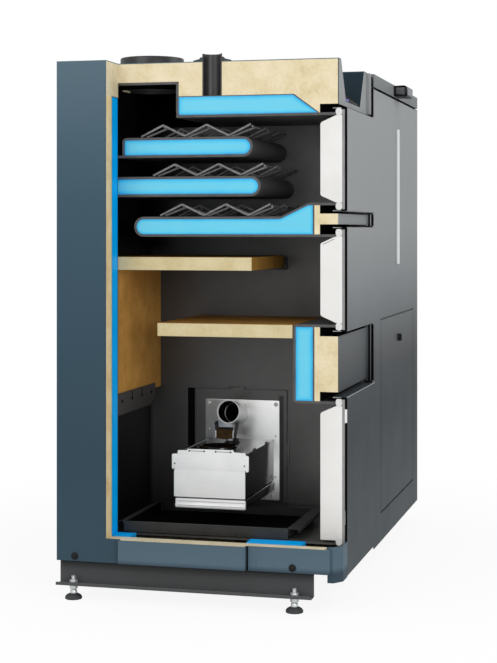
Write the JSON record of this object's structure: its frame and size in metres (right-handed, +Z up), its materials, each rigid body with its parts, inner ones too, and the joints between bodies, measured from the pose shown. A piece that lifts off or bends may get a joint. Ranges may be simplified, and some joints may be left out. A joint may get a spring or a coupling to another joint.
{
  "type": "pellet boiler",
  "caption": "Sectioned pellet boiler with water shelves, baffles, burner and ash tray behind hinged doors, beside a pellet store with lid and service panel, on levelling feet.",
  "frame": {"origin": "middle of the overall box, on the floor", "axes": "+Z up, +X towards the doors, +Y from the sectioned boiler side towards the pellet store"},
  "size_m": [0.722, 1.2625, 1.308],
  "materials": {
    "painted_panel": "satin powder coat, blue grey",
    "painted_front": "satin powder coat, light to dark grey",
    "painted_rail": "matt dark grey paint",
    "zinc_foot": "bright zinc plate",
    "black_steel": "matt black heat paint",
    "boiler_plate": "dark mill-scale steel plate",
    "bare_steel": "heat-darkened rod",
    "stainless": "brushed stainless steel",
    "galvanised": "galvanised sheet",
    "insulation": "matt mineral wool, cream",
    "ceramic": "matt fired ceramic board",
    "lining_board": "matt white fibre board",
    "water": "smooth blue, shows the water space",
    "black_plastic": "fine grained",
    "light_plastic": "smooth",
    "rubber_seal": "matt",
    "display_glass": "smooth dark screen"
  },
  "bodies": {
    "boiler": {"base_rails": "painted_rail", "levelling_feet": "zinc_foot", "left_side_panel": "painted_panel", "base_covers": "painted_panel", "bottom_panel": "painted_panel", "rear_panel": "painted_panel", "right_side_panel": "painted_panel", "roof_panel": "painted_panel", "flue_collar": "black_steel", "flow_pipe": "black_steel", "pipe_rosette": "rubber_seal", "casing_insulation": "insulation", "top_insulation": "insulation", "base_insulation": "insulation", "front_insulation": "insulation", "front_bands": "painted_front", "water": "water", "outer_shell": "boiler_plate", "inner_shell": "boiler_plate", "crown_plate": "boiler_plate", "upper_shelf": "boiler_plate", "middle_shelf": "boiler_plate", "lower_shelf": "boiler_plate", "front_pocket": "boiler_plate", "flue_box": "black_steel", "upper_baffle": "ceramic", "lower_baffle": "ceramic", "rear_ceramic": "ceramic", "ceramic_bracket": "boiler_plate", "turbulators": "bare_steel", "burner_frame": "black_steel", "burner_flange": "stainless", "burner_box": "stainless", "drop_tube": "stainless", "ash_tray": "boiler_plate", "control_head": "painted_panel", "display": "display_glass", "store_front": "painted_front", "store_casing": "painted_panel", "store_bin": "galvanised", "level_strip": "light_plastic"},
    "upper_door": {"upper_door_cover": "painted_front", "upper_door_plate": "boiler_plate", "upper_door_lining": "lining_board"},
    "middle_door": {"middle_door_cover": "painted_front", "middle_door_plate": "boiler_plate", "middle_door_lining": "lining_board"},
    "lower_door": {"lower_door_cover": "painted_front", "lower_door_plate": "boiler_plate", "lower_door_lining": "lining_board"},
    "lid": {"store_lid": "painted_panel", "lid_handle": "black_plastic"},
    "service_flap": {"service_panel": "painted_front"},
    "latch": {"panel_latch": "black_plastic"}
  },
  "joints": [
    {"name": "upper_door_hinge", "type": "hinge", "parent": "boiler", "child": "upper_door", "pos_m": [0.3215, -0.16125, 1.0235], "axis": [0, 0, 1], "range_deg": [0, 100]},
    {"name": "middle_door_hinge", "type": "hinge", "parent": "boiler", "child": "middle_door", "pos_m": [0.3215, -0.16125, 0.7585], "axis": [0, 0, 1], "range_deg": [0, 100]},
    {"name": "lower_door_hinge", "type": "hinge", "parent": "boiler", "child": "lower_door", "pos_m": [0.3215, -0.16125, 0.28], "axis": [0, 0, 1], "range_deg": [0, 100]},
    {"name": "lid_hinge", "type": "hinge", "parent": "boiler", "child": "lid", "pos_m": [-0.351, 0.26825, 1.244], "axis": [0, -1, 0], "range_deg": [0, 75]},
    {"name": "service_panel_tilt", "type": "hinge", "parent": "boiler", "child": "service_flap", "pos_m": [0.322, 0.23675, 0.137], "axis": [0, 1, 0], "range_deg": [0, 30]},
    {"name": "latch_turn", "type": "hinge", "parent": "service_flap", "child": "latch", "pos_m": [0.322, 0.23675, 0.577], "axis": [1, 0, 0], "range_deg": [0, 90]}
  ]
}
